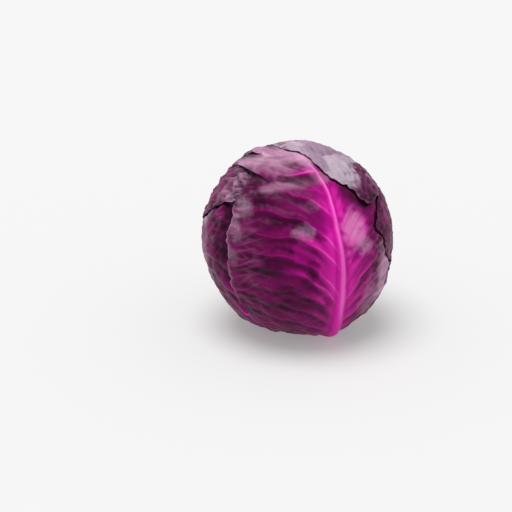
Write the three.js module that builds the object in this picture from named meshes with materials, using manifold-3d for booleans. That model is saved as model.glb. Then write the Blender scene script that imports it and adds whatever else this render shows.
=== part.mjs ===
// A red cabbage head: the cut stem with its core, the tight heart of young leaves,
// and the older leaves wrapped round them in a spiral, each in a layer of its own.
// Millimetres, +Z up. The origin is the middle of the cut stem face that the head stands on.
// Azimuth 0 faces -Y and grows towards +X. Elevation 90 is straight up.

import * as THREE from "three";
import { mergeVertices } from "three/addons/utils/BufferGeometryUtils.js";
import Module from "manifold-3d";

// ---------------------------------------------------------------- driving dimensions

const HEAD_RADIUS = 80;
const STEM_RADIUS = 16;

const LEAF_THICKNESS = 1.2;
const OUTER_PITCH = 2.8; // from one outer leaf's outside to the next one's
const INNER_THICKNESS = 1.9;
const INNER_PITCH = 3;
const INNER_LEAVES = 9;

const LEAF_TURN = 137.5; // degrees round the stem from each inner leaf to the next older one
const LEAF_MIDDLE_ELEVATION = 10; // where each leaf's outline is measured from
const BASE_CLEARANCE = 3; // from the stem to the foot of each leaf

const CORE_HEIGHT = 96;
const CORE_TIP_RADIUS = 7;
const STUMP_HEIGHT = 4; // straight part of the stem, below the taper of the core
const HEART_CLEARANCE = 0.5;

const OUTER_GRID = { rings: 8, spokes: 48 }; // from a leaf's middle to its margin, and round it
const INNER_GRID = { rings: 7, spokes: 36 };
const ROUND_SEGMENTS = 32;

// ---------------------------------------------------------------- leaves

// An outline is a list of [bearing, reach] points round a leaf's margin, in degrees: a bearing is
// counted clockwise from the tip, seen from outside, and a reach is the arc from the leaf's middle.
// Every leaf's foot, at bearing 180, is added where it comes near the stem.
const OUTER_LEAVES = [
  {
    name: "crown_leaf",
    azimuth: 163,
    colour: 0x9b7c95,
    outline: [
      [-120, 86], [-92, 97], [-69, 104], [-58, 92], [-52, 102], [-30, 104], [-16, 98], [0, 89],
      [21, 71], [60, 70], [120, 80], [150, 84],
    ],
  },
  {
    name: "front_leaf",
    azimuth: 22,
    colour: 0xa32479,
    outline: [
      [-158, 85], [-130, 76], [-90, 65], [-56, 69], [-44, 76], [-26, 100], [0, 92],
      [60, 76], [110, 64], [148, 70],
    ],
  },
  {
    name: "left_shoulder_leaf",
    azimuth: -135,
    colour: 0x7a556e,
    outline: [
      [-150, 85], [-110, 82], [-30, 90], [0, 95], [42, 90], [57, 79], [68, 61], [85, 48],
      [100, 46], [140, 62],
    ],
  },
  {
    name: "right_leaf",
    azimuth: 106,
    colour: 0x95426d,
    outline: [[-150, 84], [-120, 78], [-60, 80], [0, 92], [60, 84], [120, 80]],
  },
  {
    name: "left_leaf",
    azimuth: -32,
    colour: 0x773c5d,
    outline: [[-150, 85], [-120, 82], [-60, 84], [0, 90], [60, 80], [120, 78]],
  },
];
const INNER_OUTLINE = [[-120, 80], [-60, 82], [0, 94], [60, 82], [120, 80]];
const INNER_COLOUR = 0x8a2a6a;

const headCentre = new THREE.Vector3(0, 0, HEAD_RADIUS);
const radians = THREE.MathUtils.degToRad;

function leafMaterial(colour) {
  return new THREE.MeshStandardMaterial({ color: colour, roughness: 0.5, metalness: 0 });
}

// Closes the seams that three's own geometries leave for their normals and uvs.
function sealed(geometry) {
  geometry.deleteAttribute("normal");
  geometry.deleteAttribute("uv");
  return mergeVertices(geometry, 1e-4);
}

// The reach of a leaf's foot, where it stops short of the stem.
function footReach(radius) {
  const fromBottom = THREE.MathUtils.radToDeg(Math.asin((STEM_RADIUS + BASE_CLEARANCE) / radius));
  return 90 + LEAF_MIDDLE_ELEVATION - fromBottom;
}

// The reach of a closed outline at a bearing, easing from each of its points to the next.
function reachAt(outline, bearing) {
  const next = Math.max(1, outline.findIndex(([at]) => at >= bearing));
  const [start, startReach] = outline[next - 1];
  const [end, endReach] = outline[next];
  return THREE.MathUtils.lerp(
    startReach,
    endReach,
    THREE.MathUtils.smoothstep(bearing, start, end),
  );
}

// A flat disc of radius 1 and height 1 to bend into a leaf, made of rings and spokes.
function discSlab({ rings, spokes }) {
  const radii = Array.from({ length: rings + 1 }, (_, ring) => ring / rings);
  const profile = [
    ...radii.map((radius) => new THREE.Vector2(radius, 0)),
    ...radii.reverse().map((radius) => new THREE.Vector2(radius, 1)),
  ];
  return sealed(new THREE.LatheGeometry(profile, spokes).rotateX(Math.PI / 2));
}

// The direction, out from the head's centre, of a place on a leaf.
function leafDirection(bearing, reach, azimuth) {
  const arc = radians(reach);
  const sideways = Math.sin(arc) * Math.sin(radians(bearing));
  const lift = Math.sin(arc) * Math.cos(radians(bearing));
  return new THREE.Vector3(sideways, -Math.cos(arc), lift)
    .applyAxisAngle(new THREE.Vector3(1, 0, 0), -radians(LEAF_MIDDLE_ELEVATION))
    .applyAxisAngle(new THREE.Vector3(0, 0, 1), radians(azimuth));
}

// A leaf is a flat slab wrapped on to the sphere of its layer: the slab's top is the outside.
function leafGeometry(outline, azimuth, radius, thickness, grid) {
  const foot = footReach(radius);
  const closed = [[-180, foot], ...outline, [180, foot]];
  const slab = discSlab(grid);
  const place = slab.attributes.position;
  for (let i = 0; i < place.count; i += 1) {
    const across = place.getX(i);
    const along = place.getY(i);
    const bearing = THREE.MathUtils.radToDeg(Math.atan2(across, along));
    const reach = Math.hypot(across, along) * reachAt(closed, bearing);
    const layer = radius - thickness * (1 - place.getZ(i));
    const point = leafDirection(bearing, reach, azimuth).multiplyScalar(layer).add(headCentre);
    place.setXYZ(i, point.x, point.y, point.z);
  }
  return slab;
}

function leafMesh(name, colour, geometry) {
  geometry.computeVertexNormals();
  const mesh = new THREE.Mesh(geometry, leafMaterial(colour));
  mesh.name = name;
  return mesh;
}

function outerLeaves() {
  return OUTER_LEAVES.map(({ name, azimuth, colour, outline }, order) => {
    const radius = HEAD_RADIUS - OUTER_PITCH * order;
    return leafMesh(
      name,
      colour,
      leafGeometry(outline, azimuth, radius, LEAF_THICKNESS, OUTER_GRID),
    );
  });
}

function innerLeaves() {
  const outside = HEAD_RADIUS - OUTER_PITCH * OUTER_LEAVES.length;
  const youngestOuter = OUTER_LEAVES.at(-1).azimuth;
  return Array.from({ length: INNER_LEAVES }, (_, index) => {
    const azimuth = youngestOuter - LEAF_TURN * (index + 1);
    const radius = outside - INNER_PITCH * index;
    return leafMesh(
      `inner_leaf_${index + 1}`,
      INNER_COLOUR,
      leafGeometry(INNER_OUTLINE, azimuth, radius, INNER_THICKNESS, INNER_GRID),
    );
  });
}

// ---------------------------------------------------------------- stem, core and heart

// Half of the core's section, from the cut face up to its tip, grown by a clearance all round.
function coreProfile(clearance) {
  const tipCentre = CORE_HEIGHT - CORE_TIP_RADIUS;
  const tip = CORE_TIP_RADIUS + clearance;
  const profile = [
    new THREE.Vector2(0, 0),
    new THREE.Vector2(STEM_RADIUS + clearance, 0),
    new THREE.Vector2(STEM_RADIUS + clearance, STUMP_HEIGHT),
  ];
  const tipSteps = 5;
  for (let step = 0; step < tipSteps; step += 1) {
    const angle = (step / tipSteps) * (Math.PI / 2);
    profile.push(new THREE.Vector2(tip * Math.cos(angle), tipCentre + tip * Math.sin(angle)));
  }
  profile.push(new THREE.Vector2(0, tipCentre + tip));
  return profile;
}

function coreGeometry(clearance) {
  const lathe = new THREE.LatheGeometry(coreProfile(clearance), ROUND_SEGMENTS);
  return sealed(lathe.rotateX(Math.PI / 2));
}

function stemCore() {
  const geometry = coreGeometry(0);
  geometry.computeVertexNormals();
  const material = new THREE.MeshStandardMaterial({ color: 0xe9e2cf, roughness: 0.7, metalness: 0 });
  const mesh = new THREE.Mesh(geometry, material);
  mesh.name = "stem_core";
  return mesh;
}

function asManifold(wasm, geometry) {
  return new wasm.Manifold(
    new wasm.Mesh({
      numProp: 3,
      vertProperties: new Float32Array(geometry.attributes.position.array),
      triVerts: new Uint32Array(geometry.index.array),
    }),
  );
}

function fromManifold(solid) {
  const found = solid.getMesh();
  const geometry = new THREE.BufferGeometry();
  geometry.setAttribute("position", new THREE.BufferAttribute(found.vertProperties, 3));
  geometry.setIndex(new THREE.BufferAttribute(found.triVerts, 1));
  return geometry;
}

// The youngest leaves, packed into a ball that the core grows up into.
function heart(wasm) {
  const layers = OUTER_PITCH * OUTER_LEAVES.length + INNER_PITCH * INNER_LEAVES;
  const radius = HEAD_RADIUS - layers;
  const ball = new THREE.SphereGeometry(radius, ROUND_SEGMENTS, ROUND_SEGMENTS / 2);
  ball.rotateX(Math.PI / 2).translate(headCentre.x, headCentre.y, headCentre.z);
  const hollowed = asManifold(wasm, sealed(ball)).subtract(
    asManifold(wasm, coreGeometry(HEART_CLEARANCE)),
  );
  const geometry = fromManifold(hollowed);
  geometry.computeVertexNormals();
  const mesh = new THREE.Mesh(geometry, leafMaterial(0xb9a3c4));
  mesh.name = "heart";
  return mesh;
}

// ---------------------------------------------------------------- the whole head

const wasm = await Module();
wasm.setup();

const group = new THREE.Group();
group.add(...outerLeaves(), ...innerLeaves(), heart(wasm), stemCore());

export default group;
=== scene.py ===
import math
from dataclasses import dataclass

import bpy
import numpy as np
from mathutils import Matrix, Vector


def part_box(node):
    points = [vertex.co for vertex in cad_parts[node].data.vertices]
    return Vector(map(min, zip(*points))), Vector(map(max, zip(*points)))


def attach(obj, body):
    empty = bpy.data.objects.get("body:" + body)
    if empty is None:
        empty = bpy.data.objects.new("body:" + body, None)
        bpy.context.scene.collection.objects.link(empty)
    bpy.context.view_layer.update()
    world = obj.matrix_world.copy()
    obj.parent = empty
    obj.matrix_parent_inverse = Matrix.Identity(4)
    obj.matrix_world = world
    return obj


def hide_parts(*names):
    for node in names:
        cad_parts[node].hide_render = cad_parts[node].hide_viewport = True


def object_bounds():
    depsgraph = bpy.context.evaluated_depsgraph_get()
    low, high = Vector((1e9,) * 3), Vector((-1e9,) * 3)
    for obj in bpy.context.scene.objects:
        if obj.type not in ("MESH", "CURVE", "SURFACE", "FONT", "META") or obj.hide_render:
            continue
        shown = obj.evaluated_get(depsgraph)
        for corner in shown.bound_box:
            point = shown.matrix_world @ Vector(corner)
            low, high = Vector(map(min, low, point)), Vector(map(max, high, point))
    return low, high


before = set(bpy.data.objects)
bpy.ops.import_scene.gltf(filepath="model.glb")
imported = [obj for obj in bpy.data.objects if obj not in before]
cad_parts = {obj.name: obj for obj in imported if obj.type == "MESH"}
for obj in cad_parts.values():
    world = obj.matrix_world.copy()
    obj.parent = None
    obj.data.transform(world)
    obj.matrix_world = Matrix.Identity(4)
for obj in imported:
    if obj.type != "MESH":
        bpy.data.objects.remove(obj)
cad_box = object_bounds()

# ---------------------------------------------------------------- the head's own measures
# A place on a leaf is a number of degrees of arc to the right and up from the leaf's middle, seen
# from outside. Its bearing is counted clockwise from the leaf's tip, and its reach is its distance
# from the middle. Azimuth 0 is the front of the head, -Y. Heights and lengths are millimetres.

MM = 0.001
RADIUS = (cad_box[1][2] - cad_box[0][2]) / 2 / MM
CENTRE = Vector((0, 0, RADIUS * MM))
DEGREE = math.radians(RADIUS)  # millimetres along the surface for a degree of arc
MIDDLE_ELEVATION = 10
LEAF_THICKNESS = 1.1
RIM_SHARE = 0.4  # of the thickness, left at the margin
LEAF_PITCH = 2.3  # how far a leaf sinks under each leaf that lies over it
FLOOR_GAP = 0.3  # the leaves flatten at this height over the floor
FOLD_WIDTH = 3.4  # degrees from the middle of a pleat's wall to its top or its foot
OUTER_CELLS = 214  # grid cells along each side of an outer leaf
INNER_CELLS = 60
LEAF_TURN = 137.5  # degrees round the stem from each inner leaf to the next older one
INNER_LEAF_COUNT = 9
HEART_WRINKLE = 3
STUMP_SHARE = 0.25  # height of the stem's straight part, over its radius
CORE_TIP_SHARE = 0.42  # radius of the core's tip, over the stem's

# (azimuth, elevation, spread, rise) where the whole head stands out from a ball
SWELLS = (
    (-100, 38, 26, 2.4),
    (76, -38, 22, 4.2),
    (40, -63, 17, 6.5),
    (160, -60, 24, 4.5),
    (-80, -60, 24, 4.5),
)


def smooth(low, high, value):
    """0 at low, 1 at high, and an S curve between them."""
    share = np.clip((value - low) / (high - low), 0, 1)
    return share * share * (3 - 2 * share)


def bump(middle, spread, value):
    """1 at middle, fading evenly on both sides."""
    return np.exp(-(((value - middle) / spread) ** 2))


def ripple(place, wavelength, seed, waves=18):
    """Smooth, even noise, mostly from -1 to 1, over places in millimetres."""
    draw = np.random.default_rng(seed)
    ways = draw.normal(size=(waves, place.shape[1]))
    ways /= np.linalg.norm(ways, axis=1, keepdims=True)
    lengths = wavelength * draw.uniform(0.7, 1.5, (waves, 1))
    turns = draw.uniform(0, 2 * math.pi, waves)
    phase = place @ (2 * math.pi * ways / lengths).T + turns
    return np.sin(phase).sum(axis=1) / math.sqrt(waves)


def creases(right, up, slant, wavelength, seed):
    """Sharp, long ridges from 0 to 1, lying along a slant in degrees above the level."""
    turn = math.radians(slant)
    along = (right * math.cos(turn) + up * math.sin(turn)) * DEGREE / 3.5
    across = (up * math.cos(turn) - right * math.sin(turn)) * DEGREE
    noise = ripple(np.stack([along, across], axis=1), wavelength, seed)
    return np.clip(1 - 1.6 * np.abs(noise), 0, 1) ** 1.5


def curve_through(points, value):
    """The height, at each value, of a curve without corners through (where, height) points."""
    where, height = np.array(sorted(points), float).T
    slope = np.gradient(height, where)
    k = np.clip(np.searchsorted(where, value, side="right") - 1, 0, len(where) - 2)
    gap = where[k + 1] - where[k]
    t = np.clip((value - where[k]) / gap, 0, 1)
    return (
        (2 * t**3 - 3 * t**2 + 1) * height[k]
        + (t**3 - 2 * t**2 + t) * gap * slope[k]
        + (3 * t**2 - 2 * t**3) * height[k + 1]
        + (t**3 - t**2) * gap * slope[k + 1]
    )


def box_radius(node):
    """The radius of a node that is part of a ball round the head's centre, from its box."""
    low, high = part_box(node)
    return max(RADIUS - low[2] / MM, high[2] / MM - RADIUS)


# ---------------------------------------------------------------- leaves


def even_veins(lowest, highest, gap, climb, run):
    """Side veins at even steps up the midrib, climbing less towards the tip."""
    roots = np.arange(lowest, highest, gap)
    return tuple((root, climb * np.clip((90 - root) / 90, 0.3, 1), run, 1.0) for root in roots)


@dataclass
class Leaf:
    name: str
    azimuth: float
    outline: tuple  # (bearing, reach) round the margin
    seed: int
    cells: int = OUTER_CELLS
    depth: float = 0.0  # how far the leaf lies under the head's surface
    scallop: float = 0.8  # degrees by which the margin waves in and out
    frill: float = 0.8  # how much the margin waves up and down
    rib_height: float = 3.0
    midrib: tuple = ((90, 0), (0, 1.5), (-60, -2), (-95, 0))  # (up, right) down the leaf
    left_veins: tuple = even_veins(-62, 70, 13, 34, 24)  # (root, climb, run, strength)
    right_veins: tuple = even_veins(-58, 70, 13, 38, 30)
    quilting: float = 0.4
    rim: float = 0.3  # how pale the very margin is
    lifts: tuple = ()  # (bearing, spread, height, width): the margin stands off the head
    pleats: tuple = ()  # (bearing, nearest reach, height, overhang): a fold out to the margin
    crumples: tuple = ()  # (right, up, spread right, spread up, slant, height)
    swells: tuple = ()  # (right, up, spread right, spread up, height)
    blooms: tuple = ()  # (right, up, spread right, spread up, strength) of waxy grey
    flushes: tuple = ()  # the same, of bright magenta
    shades: tuple = ()  # the same, of dark plum: partly the leaf's own colour, partly painted shade under margins, folds and veins
    pales: tuple = ()  # the same, of pale pink: partly the leaf's own colour, partly a painted sheen where the surface faces up to the light


def margin_reach(leaf, bearing):
    """The reach of the margin at each bearing, with the lobes and notches of a cabbage leaf."""
    turned = [(at + turn, reach) for turn in (-360, 0, 360) for at, reach in leaf.outline]
    reach = curve_through(turned, (bearing + 180) % 360 - 180)
    turn = np.radians(bearing)
    ring = 70 * np.stack([np.sin(turn), np.cos(turn)], axis=1)
    tears = 0.7 * ripple(ring, 26, leaf.seed + 8) + 0.4 * ripple(ring, 9, leaf.seed + 9)
    draw = np.random.default_rng(leaf.seed)
    for count, size in ((37, 0.5), (53, 0.6), (83, 0.5)):
        tears += size * (np.abs(np.sin(turn * count / 2 + draw.uniform(0, math.pi))) - 0.64)
    return reach + leaf.scallop * tears


def direction(right, up, azimuth):
    """The way out from the head's centre at each place on a leaf."""
    arc = np.radians(np.hypot(right, up))
    bearing = np.arctan2(right, up)
    side = np.sin(arc) * np.sin(bearing)
    lift = np.sin(arc) * np.cos(bearing)
    tilt, turn = math.radians(MIDDLE_ELEVATION), math.radians(azimuth)
    forward = np.cos(arc) * math.cos(tilt) - lift * math.sin(tilt)
    height = np.cos(arc) * math.sin(tilt) + lift * math.cos(tilt)
    across = side * math.cos(turn) + forward * math.sin(turn)
    away = side * math.sin(turn) - forward * math.cos(turn)
    return np.stack([across, away, height], axis=1)


def place_on(way, azimuth):
    """Bearing and reach, on the leaf at that azimuth, of each way out from the centre."""
    tilt, turn = math.radians(MIDDLE_ELEVATION), math.radians(azimuth)
    side = way[:, 0] * math.cos(turn) + way[:, 1] * math.sin(turn)
    forward = way[:, 0] * math.sin(turn) - way[:, 1] * math.cos(turn)
    out = forward * math.cos(tilt) + way[:, 2] * math.sin(tilt)
    lift = way[:, 2] * math.cos(tilt) - forward * math.sin(tilt)
    return np.degrees(np.arctan2(side, lift)), np.degrees(np.arccos(np.clip(out, -1, 1)))


def side_veins(veins, away, up, wander):
    """Ridge heights, furrows under the ridges, sunk and painted dark as the shade below each ridge, and
    bright crests of one side's veins.
    """
    ridge, shaded_furrow, crest = np.zeros((3, len(up)))
    for root, climb, run, strength in veins:
        off = up - root - climb * (1 - np.exp(-away / run)) + wander
        off = off / np.hypot(1, climb / run * np.exp(-away / run))
        width = 0.7 + 1.7 * np.exp(-away / 14)
        fade = strength * smooth(-4, 1, away) * (0.5 + 0.5 * np.exp(-away / 40))
        side = np.where(off > 0, 2 + 2 * width, width)
        ridge = np.maximum(ridge, fade * (0.5 + 0.7 * np.exp(-away / 18)) * bump(0, side, off))
        shaded_furrow = np.maximum(shaded_furrow, fade * bump(-1.6 - 1.4 * width, 1.4 + 1.4 * width, off))
        crest = np.maximum(crest, fade * bump(0.1, 0.65 * width, off))
    return ridge, shaded_furrow, crest


def patches(marks, right, up, place):
    """Flat patches with soft, uneven edges, from 0 to 1."""
    total = np.zeros_like(right)
    uneven = np.exp(0.3 * ripple(place, 17, 3) + 0.22 * ripple(place, 6, 4))
    for mark_right, mark_up, wide, tall, strength in marks:
        off = ((right - mark_right) / wide) ** 2 + ((up - mark_up) / tall) ** 2
        total += strength * np.exp(-((off * uneven) ** 2))
    return np.clip(total, 0, 1)


def head_surface(way):
    """How far out the head's skin is, in millimetres: a slightly uneven ball with a few swells."""
    far = RADIUS - 0.8 + 0.6 * ripple(way * RADIUS, 75, 5)
    for azimuth, elevation, spread, rise in SWELLS:
        turn, tilt = math.radians(azimuth), math.radians(elevation)
        level = math.cos(tilt)
        peak = np.array([level * math.sin(turn), -level * math.cos(turn), math.sin(tilt)])
        off = np.degrees(np.arccos(np.clip(way @ peak, -1, 1)))
        far += rise * bump(0, spread, off)
    return far


def round_sheet(name, cells):
    """A flat grid, with each point's bearing and its share, 0 to 1, of the way to the margin."""
    bpy.ops.object.select_all(action="DESELECT")
    bpy.ops.mesh.primitive_grid_add(x_subdivisions=cells, y_subdivisions=cells, size=2)
    sheet = bpy.context.object
    sheet.name = sheet.data.name = name
    square = np.empty(len(sheet.data.vertices) * 3)
    sheet.data.vertices.foreach_get("co", square)
    wide, tall, _ = square.reshape(-1, 3).T
    across, along = wide * np.sqrt(1 - tall**2 / 2), tall * np.sqrt(1 - wide**2 / 2)
    return sheet, np.degrees(np.arctan2(across, along)), np.hypot(across, along)


def fold_pleats(pleats, bearing, reach):
    """Bearings pushed over by the pleats, the pleats' heights, and a painted shadow, 0 to 1, on the wall
    under each pleat's ledge and just below it.
    """
    height = np.zeros_like(reach)
    pleat_shadow = np.zeros_like(reach)
    for at, nearest, rise, overhang in pleats:
        past = ((bearing - at + 180) % 360 - 180) * np.sin(np.radians(reach)) / FOLD_WIDTH
        grown = smooth(nearest, nearest + 14, reach)
        fold = np.clip(past, -1, 1)
        bearing = bearing - overhang * grown * np.sin(fold * math.pi)
        ledge = smooth(-1, 1, fold) * np.exp(-np.clip(past * FOLD_WIDTH - 3, 0, None) / 9)
        height += rise * grown * ledge * (1 - 0.75 * smooth(82, 100, reach))
        # Painted shadow: dark on the wall under the pleat's ledge and a little below it.
        pleat_shadow = np.maximum(pleat_shadow, grown * smooth(-3.4, -1.0, past) * smooth(0.5, 0, fold))
    return bearing, height, pleat_shadow


def lie_under(others, way):
    """How many of the other leaves lie over each place, and whether any does, from 0 to 1."""
    covers = np.zeros(len(way))
    hidden = np.zeros(len(way))
    for other in others:
        bearing, reach = place_on(way, other.azimuth)
        under = smooth(-3.0, 0.4, margin_reach(other, bearing) - reach)
        covers += under
        hidden = np.maximum(hidden, under)
    return covers, hidden


def shape_midrib(leaf, away, up):
    """The rib, its height and the grooves on both sides of it; it tapers towards the tip."""
    low_down = np.clip((70 - up) / 150, 0, 1)
    width = 0.9 + 2.9 * low_down**1.6
    rib = np.exp(-((away / width) ** 2.6)) * smooth(80, 60, up)
    groove = bump(1.7 * width, 0.6 * width, away) * smooth(70, 40, up)
    return rib, leaf.rib_height * (0.12 + 0.88 * low_down) * rib - 0.5 * groove, groove


def long_streaks(leaf, off_rib, away, up):
    """Coarse and fine streaks that curve up and outwards from the midrib as the veins do."""
    mean_root = up - 33 * (1 - np.exp(-away / 17))
    side_way = np.stack([off_rib * DEGREE / 5, mean_root * DEGREE], axis=1)
    fine = ripple(side_way, 3.2, leaf.seed + 10) * (0.25 + 0.65 * np.exp(-away / 16))
    return (ripple(side_way, 7, leaf.seed + 7) + fine) * smooth(1, 8, away)


def crumple_up(leaf, right, up):
    """The height of the leaf's crumpled parts, and how sharp a ridge each place is on."""
    height = np.zeros_like(right)
    ridges = np.zeros_like(right)
    for at_right, at_up, wide, tall, slant, rise in leaf.crumples:
        near = np.exp(-(((right - at_right) / wide) ** 2) - ((up - at_up) / tall) ** 2)
        crumple = creases(right, up, slant, 11, leaf.seed + 5)
        crumple = np.maximum(crumple, 0.6 * creases(right, up, slant - 50, 9, leaf.seed + 6))
        height += rise * near * (crumple - 0.3)
        ridges = np.maximum(ridges, min(rise / 4, 1) * near * crumple)
    return height, ridges


def shape_leaf(leaf, others):
    """One leaf, wrapped round the head under the others, with its relief and its paint masks."""
    sheet, bearing, share = round_sheet(leaf.name + "_leaf_surface", leaf.cells)
    margin = margin_reach(leaf, bearing)
    middle = np.median([reach for _, reach in leaf.outline])
    reach = share * (middle + (margin - middle) * smooth(0, 0.5, share))
    edge = (margin - reach) * DEGREE

    bearing, height, pleat_shadow = fold_pleats(leaf.pleats, bearing, reach)
    right = reach * np.sin(np.radians(bearing))
    up = reach * np.cos(np.radians(bearing))
    way = direction(right, up, leaf.azimuth)
    place = way * RADIUS
    covers, hidden = lie_under(others, way)

    off_rib = right - curve_through(leaf.midrib, up)
    away = np.abs(off_rib)
    wander = 1.2 * ripple(place, 30, leaf.seed + 1) * smooth(2, 20, away)
    left = side_veins(leaf.left_veins, np.where(off_rib < 0, away, -away), up, wander)
    rest = side_veins(leaf.right_veins, np.where(off_rib > 0, away, -away), up, wander)
    ridge, shaded_furrow, crest = (np.maximum(a, b) for a, b in zip(left, rest))
    rib, rib_relief, groove = shape_midrib(leaf, away, up)
    streak = long_streaks(leaf, off_rib, away, up)
    quilts = ripple(place, 12, leaf.seed + 2) + 0.4 * ripple(place, 5, leaf.seed + 3)
    folds, ridges = crumple_up(leaf, right, up)

    height += rib_relief + 1.3 * ridge - 0.45 * shaded_furrow + 0.2 * streak + folds
    height += leaf.quilting * quilts * smooth(2, 20, away)
    height += leaf.frill * ripple(place, 16, leaf.seed + 4) * np.exp(-edge / 5)
    for at, spread, lift, width in leaf.lifts:
        height += lift * bump(at, spread, bearing) * np.exp(-edge / width)
    for at_right, at_up, wide, tall, rise in leaf.swells:
        height += rise * bump(at_right, wide, right) * bump(at_up, tall, up)

    far = head_surface(way) - leaf.depth - LEAF_PITCH * covers + height * (1 - hidden)
    resting = (RADIUS - FLOOR_GAP - LEAF_PITCH * covers) / np.maximum(-way[:, 2], 0.01)
    rounding = 2.5 * np.exp(-np.abs(far - resting) / 4)
    far = np.minimum(far, resting) - rounding
    points = np.array(CENTRE) + way * (far * MM)[:, None]
    sheet.data.vertices.foreach_set("co", points.ravel())

    flush = np.exp(-away / 10) * smooth(60, 20, up)
    masks = {
        "rib": rib * (1 - 0.4 * smooth(-25, -60, up)),
        "groove": groove,
        "crest": crest * (0.75 + 0.25 * np.exp(-away / 22)),
        "ridge": ridge * (0.4 + 0.6 * np.exp(-away / 24)),
        # Painted shade: the furrow under each vein's ridge, darkened as if in its shadow.
        "shaded_furrow": shaded_furrow * smooth(3, 14, away),
        # shade: dark plum patches, partly the leaf's own colour and partly painted shade, with the painted
        # shadow under the pleats
        "shade": np.maximum(patches(leaf.shades, right, up, place), 0.9 * pleat_shadow),
        "streak": 0.5 + 0.3 * streak,
        "flush": np.clip(0.6 * flush + patches(leaf.flushes, right, up, place), 0, 1),
        "bloom": patches(leaf.blooms, right, up, place),
        # pale: pale pink patches, partly a painted sheen, with the crumples' ridge tops painted pale as a
        # highlight
        "pale": np.clip(patches(leaf.pales, right, up, place) + 0.5 * ridges, 0, 1),
        "rim": leaf.rim * np.exp(-edge / 0.9),
        "old": np.exp(-edge / 14),
    }
    for name, values in masks.items():
        layer = sheet.data.attributes.new(name, "FLOAT", "POINT")
        layer.data.foreach_set("value", values.astype(np.float32))
    thicken(sheet, edge)
    return sheet


def thicken(sheet, edge):
    """Gives the sheet its thickness, inwards, thinner towards the margin."""
    group = sheet.vertex_groups.new(name="thickness")
    weights = RIM_SHARE + (1 - RIM_SHARE) * smooth(0, 8, edge)
    for index, weight in enumerate(weights):
        group.add([index], float(weight), "REPLACE")
    wall = sheet.modifiers.new("wall", "SOLIDIFY")
    wall.thickness = LEAF_THICKNESS * MM
    wall.offset = -1
    wall.vertex_group = group.name
    bpy.ops.object.modifier_apply(modifier=wall.name)
    sheet.vertex_groups.clear()
    bpy.ops.object.shade_smooth()


CROWN = Leaf(
    "crown",
    azimuth=163,
    outline=(
        (21, 71), (13, 84), (4, 89), (-5, 91), (-16, 98), (-22, 101), (-30, 103), (-40, 101.5),
        (-51, 102), (-54, 100), (-56.5, 88), (-59, 93), (-62, 99), (-69, 105), (-75, 101), (-84, 100),
        (-92, 97), (-104, 88), (-120, 86), (-150, 87), (180, 87), (150, 84), (120, 80), (90, 76),
        (60, 70), (38, 66),
    ),
    seed=11,
    scallop=0.7,
    frill=0.4,
    rim=0.12,
    left_veins=even_veins(-60, 84, 12, 44, 34),
    right_veins=even_veins(-56, 84, 12, 44, 34),
    lifts=((-52, 5, 2.6, 7), (-64, 8, 1.8, 7)),
    crumples=((-85, 40, 16, 26, 60, 2.4), (-20, 80, 34, 24, 20, 0.6)),
    blooms=((-26, 88, 44, 30, 1.0), (10, 40, 60, 45, 0.7), (-75, 10, 20, 30, 0.3)),
    shades=((-80, 58, 12, 16, 0.6), (-95, 30, 6, 10, 0.5)),
    pales=((-10, 98, 16, 10, 0.35),),
)
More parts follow.
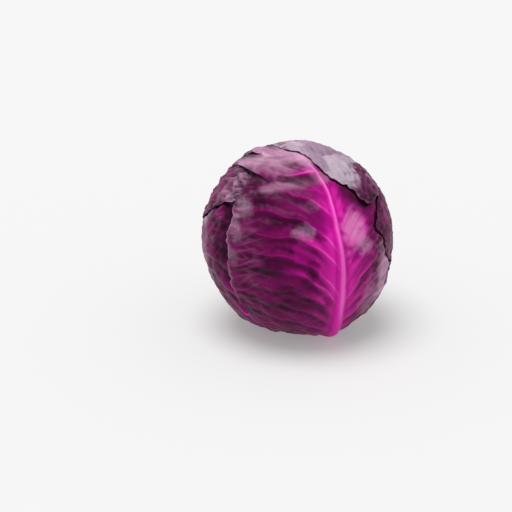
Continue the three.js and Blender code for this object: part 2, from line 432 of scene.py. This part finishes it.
FRONT = Leaf(
    "front",
    azimuth=22,
    outline=(
        (10, 88), (0, 92), (-12, 98), (-22, 106), (-30, 108), (-34, 100), (-36, 86), (-38.5, 76),
        (-42, 73), (-48, 69), (-56, 69), (-65, 67), (-77, 66), (-90, 65), (-105, 68), (-130, 76),
        (-158, 85), (180, 88), (165, 82), (148, 70), (130, 65), (110, 64), (90, 68), (60, 76), (35, 84),
    ),
    seed=23,
    scallop=0.9,
    midrib=(
        (90, -12), (70, -8.5), (56, -4.5), (44, -1), (15, 0.2), (-10, 2), (-35, 4.6), (-52, 7.6),
        (-69, 10), (-80, 8), (-92, 4),
    ),
    left_veins=(
        (58, 16, 30, 0.5), (50, 1, 10, 0.9), (33, 8, 12, 0.5), (19, 32, 24, 0.9), (5, 33, 20, 0.45),
        (-4, 33, 15, 1), (-13.5, 29, 15, 1), (-23, 33, 14, 0.6), (-34, 37, 14, 1), (-42, 36, 14, 1),
        (-52, 34, 15, 0.9), (-60, 30, 18, 0.8), (-67, 22, 20, 0.7),
    ),
    right_veins=(
        (30, 20, 16, 0.3), (12, 34, 30, 0.35), (-8, 50, 45, 0.3), (-22, 60, 50, 0.4), (-36, 70, 50, 0.9),
        (-46, 66, 50, 0.5), (-56, 70, 60, 0.9), (-64, 50, 60, 0.9), (-72, 36, 50, 0.7),
    ),
    rim=0.45,
    lifts=((-82, 30, 5.5, 7),),
    pleats=((-35, 56, 5.5, 3.8), (-25, 72, 5.0, 3.4), (-12, 74, 1.2, 0.5)),
    crumples=((-53, 0, 9, 28, 24, 1.3), (-28, 70, 30, 12, -6, 1.3), (46, -14, 10, 26, 62, 0.9)),
    blooms=(
        (-52, 34, 6, 10, 0.4), (-59, 17, 4, 9, 0.3), (-20, 13, 10, 5, 0.6), (18, 2, 7, 7, 0.55),
        (-62, -2, 4, 8, 0.2), (-12, 28, 8, 6, 0.35),
    ),
    flushes=(
        (-6, -4, 6, 14, 0.9), (-7, -18, 7, 12, 0.9), (-16, 4, 12, 9, 0.45), (5, 30, 3, 14, 0.35),
        (14, -22, 13, 22, 0.4), (13, 12, 10, 12, 0.8), (24, 22, 9, 9, 0.3), (-26, -10, 8, 5, 0.3),
    ),
    # Painted shade: under the crown's margin, along the folds at the top and in bands under the veins.
    shades=(
        (19, 33, 9, 10, 0.95), (26, 20, 7, 10, 0.6), (-26, 66, 12, 2, 0.35), (-14, 58, 10, 2.5, 0.4),
        (-36, -8, 14, 4, 0.6), (-37, 34, 11, 5, 0.6), (-12, 45, 10, 4, 0.6), (-34, 20, 16, 4, 0.6),
        (-28, -22, 12, 4, 0.5), (-26, -34, 14, 4, 0.6),
    ),
    # Partly a painted sheen: the pale top faces up to the light, with a painted highlight near (-42, 66).
    pales=(
        (-24, 74, 46, 18, 0.75), (12, 12, 8, 12, 0.55), (-5, 60, 6, 9, 0.5), (41, -22, 9, 20, 0.8),
        (30, -40, 9, 14, 0.3), (-28, 43, 16, 3, 0.4), (-42, 67, 12, 5, 0.4), (-1, 46, 6, 6, 0.35),
    ),
)
LEFT_SHOULDER = Leaf(
    "left_shoulder",
    azimuth=-135,
    outline=(
        (0, 95), (25, 94), (42, 90), (52, 84), (57, 79), (62, 69), (68, 61), (75, 54), (85, 48),
        (100, 46), (120, 52), (140, 62), (160, 78), (180, 87), (-150, 85), (-110, 82), (-70, 84), (-30, 90),
    ),
    seed=37,
    lifts=((62, 14, 1.8, 8),),
    crumples=((58, 45, 26, 22, 92, 4.6), (55, 20, 20, 16, 80, 3.4)),
    blooms=((60, 48, 16, 12, 0.3), (30, 60, 20, 20, 0.6)),
    pales=((60, 46, 18, 16, 0.15),),
)
RIGHT = Leaf(
    "right",
    azimuth=106,
    outline=((0, 92), (60, 84), (120, 80), (150, 82), (180, 88), (-150, 84), (-120, 78), (-60, 80)),
    seed=41,
)
LEFT = Leaf(
    "left",
    azimuth=-32,
    outline=((0, 90), (60, 80), (120, 78), (150, 82), (180, 88), (-150, 85), (-120, 82), (-60, 84)),
    seed=53,
    swells=((-14, 8, 9, 28, -8), (-44, 6, 14, 24, 2.0)),
    crumples=((-26, 14, 14, 26, 75, 1.6),),
    # Painted shade at (-14, 8), in the dent under the front leaf's lifted margin; the midrib's foot is
    # darkened to plum.
    shades=((-14, 8, 13, 32, 1.0), (0, -62, 9, 26, 0.7)),
    blooms=((-48, 16, 14, 18, 0.7),),
    pales=((-44, -6, 8, 26, 0.3),),
)
OUTER_LEAVES = (CROWN, FRONT, LEFT_SHOULDER, RIGHT, LEFT)

INNER_LEAVES = tuple(
    Leaf(
        f"inner_{number + 1}",
        azimuth=OUTER_LEAVES[-1].azimuth - LEAF_TURN * (number + 1),
        outline=((0, 92), (60, 82), (120, 80), (150, 82), (180, 82), (-150, 82), (-120, 80), (-60, 82)),
        seed=70 + number,
        cells=INNER_CELLS,
        depth=RADIUS - box_radius(f"inner_leaf_{number + 1}") + 1,
        scallop=0.6,
        frill=0.5,
        rib_height=0.6,
        quilting=0.15,
    )
    for number in range(INNER_LEAF_COUNT)
)

# ---------------------------------------------------------------- heart and stem


def crinkled_ball(name, radius, wrinkle):
    """A ball of tightly packed leaves, with curling furrows up to wrinkle millimetres deep."""
    bpy.ops.object.select_all(action="DESELECT")
    bpy.ops.mesh.primitive_ico_sphere_add(subdivisions=6, radius=1)
    ball = bpy.context.object
    ball.name = ball.data.name = name
    way = np.empty(len(ball.data.vertices) * 3)
    ball.data.vertices.foreach_get("co", way)
    way = way.reshape(-1, 3)
    place = way * radius
    curl = place + 5 * np.stack([ripple(place, 30, seed) for seed in (91, 92, 93)], axis=1)
    far = radius - wrinkle * np.abs(ripple(curl, 26, 94)) ** 0.7
    ball.data.vertices.foreach_set("co", (np.array(CENTRE) + way * (far * MM)[:, None]).ravel())
    bpy.ops.object.shade_smooth()
    return ball


def stem_and_core(name):
    """The stem with its flat cut face and worn edge, and the core that tapers up from it."""
    low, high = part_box("stem_core")
    radius, tall = (high[0] - low[0]) / 2, high[2] - low[2]
    bpy.ops.object.select_all(action="DESELECT")
    bpy.ops.mesh.primitive_cylinder_add(vertices=64, radius=radius, depth=tall, location=(0, 0, tall / 2))
    core = bpy.context.object
    core.name = core.data.name = name
    bpy.ops.object.transform_apply(location=True, rotation=False, scale=False)
    bpy.ops.object.mode_set(mode="EDIT")
    bpy.ops.mesh.select_all(action="SELECT")
    bpy.ops.mesh.bisect(plane_co=(0, 0, STUMP_SHARE * radius), plane_no=(0, 0, 1))
    bpy.ops.object.mode_set(mode="OBJECT")
    tip = [vertex for vertex in core.data.vertices if vertex.co.z > tall - MM]
    for vertex in tip:
        vertex.co.x *= CORE_TIP_SHARE
        vertex.co.y *= CORE_TIP_SHARE
    edge = core.modifiers.new("worn_edge", "BEVEL")
    edge.width = 0.06 * radius
    edge.segments = 4
    edge.limit_method = "ANGLE"
    edge.angle_limit = math.radians(40)
    bpy.ops.object.modifier_apply(modifier=edge.name)
    bpy.ops.object.shade_smooth_by_angle(angle=math.radians(50))
    return core


# ---------------------------------------------------------------- materials


def colour(code):
    """Linear red, green, blue and alpha from a web colour."""
    parts = [int(code[i : i + 2], 16) / 255 for i in (1, 3, 5)]
    linear = [((c + 0.055) / 1.055) ** 2.4 if c > 0.04045 else c / 12.92 for c in parts]
    return (*linear, 1)


class Field:
    """A number that changes over a surface, held in a node's socket. Sums on it add Math nodes."""

    def __init__(self, paint, socket):
        self.paint = paint
        self.socket = socket

    def sum_with(self, operation, *values):
        return Field(self.paint, self.paint.node("ShaderNodeMath", {"operation": operation}, values))

    def __add__(self, other):
        return self.sum_with("ADD", self, other)

    def __sub__(self, other):
        return self.sum_with("SUBTRACT", self, other)

    def __rsub__(self, other):
        return self.sum_with("SUBTRACT", other, self)

    def __mul__(self, other):
        return self.sum_with("MULTIPLY", self, other)

    __radd__ = __add__

    def between(self, low, high):
        """0 up to low, 1 from high, and an S curve between them."""
        settings = {"interpolation_type": "SMOOTHSTEP"}
        values = {"Value": self, "From Min": low, "From Max": high}
        return Field(self.paint, self.paint.node("ShaderNodeMapRange", settings, values))


class Paint:
    """A material, built from the Principled shader."""

    def __init__(self, name):
        self.material = bpy.data.materials.new(name)
        self.material.use_nodes = True
        self.nodes = self.material.node_tree.nodes
        self.links = self.material.node_tree.links
        self.shader = self.nodes["Principled BSDF"]
        self.place = self.node("ShaderNodeTexCoord", output="Object")

    def feed(self, socket, value):
        if isinstance(value, Field):
            value = value.socket
        if isinstance(value, bpy.types.NodeSocket):
            self.links.new(value, socket)
        else:
            socket.default_value = value

    def node(self, kind, settings=None, values=(), output=0):
        """Adds a node, sets it up, feeds its sockets by name or in order, and gives an output."""
        node = self.nodes.new(kind)
        for name, value in (settings or {}).items():
            setattr(node, name, value)
        named = values.items() if isinstance(values, dict) else enumerate(values)
        for name, value in named:
            self.feed(node.inputs[name], value)
        return node.outputs[output]

    def mask(self, name):
        settings = {"attribute_name": name, "attribute_type": "GEOMETRY"}
        return Field(self, self.node("ShaderNodeAttribute", settings, output="Fac"))

    def from_axis(self):
        """How far each place is from the stem's axis, in metres."""
        flat = self.node("ShaderNodeVectorMath", {"operation": "MULTIPLY"}, (self.place, (1, 1, 0)))
        length = self.node("ShaderNodeVectorMath", {"operation": "LENGTH"}, (flat,), "Value")
        return Field(self, length)

    def noise(self, size, detail=3.0, roughness=0.55):
        """Cloudy noise whose lumps are about size metres across."""
        values = {"Vector": self.place, "Scale": 1 / size, "Detail": detail, "Roughness": roughness}
        return Field(self, self.node("ShaderNodeTexNoise", {}, values, "Fac"))

    def warped(self, size):
        """The place on the surface, pushed about so that straight patterns come out uneven."""
        warp = self.node("ShaderNodeTexNoise", {}, {"Vector": self.place, "Scale": 0.6 / size}, "Color")
        shift = self.node("ShaderNodeVectorMath", {"operation": "SCALE"}, {0: warp, "Scale": 0.5 * size})
        return self.node("ShaderNodeVectorMath", {"operation": "ADD"}, (self.place, shift))

    def net(self, size):
        """0 on the lines of a net with meshes about size metres across, rising between them."""
        values = {"Vector": self.warped(size), "Scale": 1 / size}
        settings = {"feature": "DISTANCE_TO_EDGE"}
        return Field(self, self.node("ShaderNodeTexVoronoi", settings, values, "Distance"))

    def facets(self, size):
        """A different number, 0 to 1, for each patch about size metres across."""
        place = self.warped(size)
        colours = self.node("ShaderNodeTexVoronoi", {}, {"Vector": place, "Scale": 1 / size}, "Color")
        return Field(self, self.node("ShaderNodeSeparateColor", {}, {"Color": colours}))

    def mix(self, factor, first, second):
        settings = {"data_type": "RGBA"}
        values = {"Factor": factor, 6: first, 7: second}
        return self.node("ShaderNodeMix", settings, values, 2)

    def emboss(self, height, depth):
        """Feeds a height, of about depth metres, to the shader's normal."""
        values = {"Height": height, "Distance": depth, "Strength": 1.0}
        self.feed(self.shader.inputs["Normal"], self.node("ShaderNodeBump", {}, values))


def leaf_paint(name, dark, ground, deep, bright, crest, bloom, wax_light, pale):
    """Cabbage leaf: plum blade, magenta beside the ribs, pink crests and a waxy grey bloom."""
    paint = Paint(name)
    cloud = paint.noise(0.02)
    speck = paint.noise(0.0022, 4.0, 0.7)
    rib = paint.mask("rib")
    crests = paint.mask("crest") * (cloud.between(0.3, 0.6) * 0.5 + 0.5)
    ridges = paint.mask("ridge")
    flush = paint.mask("flush")
    streak = paint.mask("streak")
    lines = 1 - paint.net(0.018).between(0.0, 0.06)
    facets = paint.facets(0.018)

    tone = cloud + facets * 0.12 + streak * 0.3 - 0.15
    base = paint.mix(tone.between(0.22, 0.62), colour(dark), colour(ground))
    base = paint.mix((flush * 1.2 + cloud * 0.3 - 0.1).between(0.0, 0.5), base, colour(deep))
    base = paint.mix((ridges + streak * 0.3 - 0.15).between(0.05, 0.75) * 0.85, base, colour(deep))
    glow = flush * 1.3 + ridges * 0.6 + streak * 0.5 - 0.75
    base = paint.mix(glow.between(0.0, 0.8), base, colour(bright))
    # Painted shade: the furrow under each vein's ridge is darkened towards the dark plum.
    base = paint.mix(paint.mask("shaded_furrow") * 0.95, base, colour(dark))
    base = paint.mix(crests.between(0.2, 0.9) * 0.8, base, colour(bright))
    base = paint.mix(crests.between(0.45, 0.9) * 0.5, base, colour(crest))
    base = paint.mix(lines * 0.03, base, colour(bright))
    base = paint.mix(paint.mask("groove") * 0.6, base, colour(deep))
    base = paint.mix(rib.between(0.1, 0.6) * 0.85, base, colour(bright))
    base = paint.mix(rib.between(0.5, 1.0) * 0.75, base, colour(crest))
    # Partly painted light: a pale sheen on tops that face up, and a painted highlight on the crumples'
    # ridges.
    base = paint.mix(paint.mask("pale") * (0.35 + speck * 0.4 + streak * 0.5), base, colour(pale))
    waxy = paint.mask("bloom") + paint.mask("old") * 0.25
    dabs = speck * 1.4 + streak * 0.7 - 0.6
    wax = (waxy * (0.62 + dabs * 0.55 + facets * 0.1) + cloud * 0.3 - 0.27).between(0.05, 0.9)
    wax_colour = paint.mix(facets, colour(bloom), colour(wax_light))
    base = paint.mix(wax * 0.85, base, wax_colour)
    base = paint.mix(lines * wax * 0.15, base, colour(pale))
    # Painted shade: the shade patches and the shadow under the pleats darken towards the dark plum.
    base = paint.mix(paint.mask("shade") * 0.92, base, colour(dark))
    base = paint.mix(paint.mask("rim") * cloud.between(0.35, 0.6), base, colour(pale))
    paint.feed(paint.shader.inputs["Base Color"], base)
    paint.feed(paint.shader.inputs["Roughness"], wax * 0.2 + speck * 0.15 + 0.3)
    paint.emboss(lines * wax * 0.3 + speck * 0.35, 0.0004)
    paint.shader.inputs["Specular IOR Level"].default_value = 0.14
    paint.shader.inputs["Specular Tint"].default_value = colour("#f0b8e0")
    return paint.material


def outer_paint():
    return leaf_paint(
        "red_cabbage_leaf", dark="#26021a", ground="#640446", deep="#9e0476", bright="#dc20a8",
        crest="#f06cc6", bloom="#9a8699", wax_light="#bcaebc", pale="#cf9fbe",
    )


def inner_paint():
    """Younger leaves: the same pattern in paler colours, with near-white ribs."""
    return leaf_paint(
        "red_cabbage_inner_leaf", dark="#6a2a68", ground="#8c4a88", deep="#a0407f", bright="#dfc0dc",
        crest="#f3eaf2", bloom="#b79cb8", wax_light="#cdb9cd", pale="#efe2ee",
    )


def heart_paint():
    """Tightly packed young leaves: thin purple skins with white flesh showing between them."""
    paint = Paint("red_cabbage_heart")
    folds = paint.net(0.012).between(0.0, 0.25)
    cloud = paint.noise(0.008)
    speck = paint.noise(0.0015)
    skin = paint.mix(cloud.between(0.35, 0.65), colour("#7d3c86"), colour("#b184b8"))
    base = paint.mix(folds * 0.9, colour("#f2ecf0"), skin)
    paint.feed(paint.shader.inputs["Base Color"], base)
    paint.feed(paint.shader.inputs["Roughness"], speck * 0.2 + 0.35)
    paint.emboss(folds + speck * 0.2, 0.0012)
    return paint.material


def stem_paint():
    """The cut end of the stem: dry, fibrous and cream, browner and purple towards its rim."""
    paint = Paint("cut_cabbage_stem")
    from_axis = paint.from_axis()
    fibres = paint.noise(0.0012, 5.0, 0.7)
    cloud = paint.noise(0.009)
    ring = (from_axis * 110 + cloud * 0.5).between(1.25, 1.95)
    base = paint.mix(cloud.between(0.3, 0.7), colour("#e9dfc2"), colour("#d9cba4"))
    base = paint.mix(fibres.between(0.5, 0.8) * 0.5, base, colour("#b59b6c"))
    base = paint.mix(ring * 0.75, base, colour("#8f5a72"))
    paint.feed(paint.shader.inputs["Base Color"], base)
    paint.feed(paint.shader.inputs["Roughness"], fibres * 0.25 + 0.6)
    paint.emboss(fibres + cloud * 0.5, 0.0006)
    return paint.material


# ---------------------------------------------------------------- the studio


def studio():
    """A plain pale floor without a visible end, one soft sun and an even sky."""
    bpy.ops.object.select_all(action="DESELECT")
    bpy.ops.mesh.primitive_plane_add(size=60)
    floor = bpy.context.object
    floor.name = floor.data.name = "studio_floor"
    paint = Paint("studio_floor")
    paint.shader.inputs["Base Color"].default_value = colour("#bcbcbc")
    paint.shader.inputs["Emission Color"].default_value = (1, 1, 1, 1)
    paint.shader.inputs["Emission Strength"].default_value = 0.25
    paint.shader.inputs["Roughness"].default_value = 1.0
    paint.shader.inputs["Specular IOR Level"].default_value = 0.0
    floor.data.materials.append(paint.material)

    world = bpy.data.worlds.new("studio")
    bpy.context.scene.world = world
    world.use_nodes = True
    world.node_tree.nodes["Background"].inputs["Color"].default_value = (1, 1, 1, 1)
    world.node_tree.nodes["Background"].inputs["Strength"].default_value = 0.58
    sun = bpy.data.lights.new("soft_sun", "SUN")
    sun.energy = 2.45
    sun.angle = math.radians(40)
    holder = bpy.data.objects.new("soft_sun", sun)
    holder.rotation_euler = Vector((0.14, 0.12, -0.98)).to_track_quat("-Z", "Y").to_euler()
    bpy.context.scene.collection.objects.link(holder)


def camera():
    """A long lens, a little above the head, with the head up and to the right of the middle."""
    lens = bpy.data.cameras.new("camera")
    lens.lens = 85
    away, elevation = 1.018, math.radians(21)
    aim_left, aim_down = 0.0354, 0.0163
    picture_up = Vector((0, math.sin(elevation), math.cos(elevation)))
    aim = CENTRE - aim_left * Vector((1, 0, 0)) - aim_down * picture_up
    holder = bpy.data.objects.new("camera", lens)
    holder.location = aim + away * Vector((0, -math.cos(elevation), math.sin(elevation)))
    holder.rotation_euler = (math.pi / 2 - elevation, 0, 0)
    bpy.context.scene.collection.objects.link(holder)
    bpy.context.scene.camera = holder


# ---------------------------------------------------------------- the whole head


def stand_in(piece, node, material):
    """Gives a piece its material, and has it ride and show in place of a CAD node."""
    piece.data.materials.append(material)
    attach(piece, "root")
    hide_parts(node)


camera()
studio()
bpy.context.scene.view_settings.view_transform = "Standard"
leaf_material = outer_paint()
for order, leaf in enumerate(OUTER_LEAVES):
    stand_in(shape_leaf(leaf, OUTER_LEAVES[:order]), leaf.name + "_leaf", leaf_material)
inner_material = inner_paint()
for number, leaf in enumerate(INNER_LEAVES):
    stand_in(shape_leaf(leaf, ()), f"inner_leaf_{number + 1}", inner_material)
heart = crinkled_ball("heart_ball", box_radius("heart"), HEART_WRINKLE)
stand_in(heart, "heart", heart_paint())
stand_in(stem_and_core("stem_and_core"), "stem_core", stem_paint())
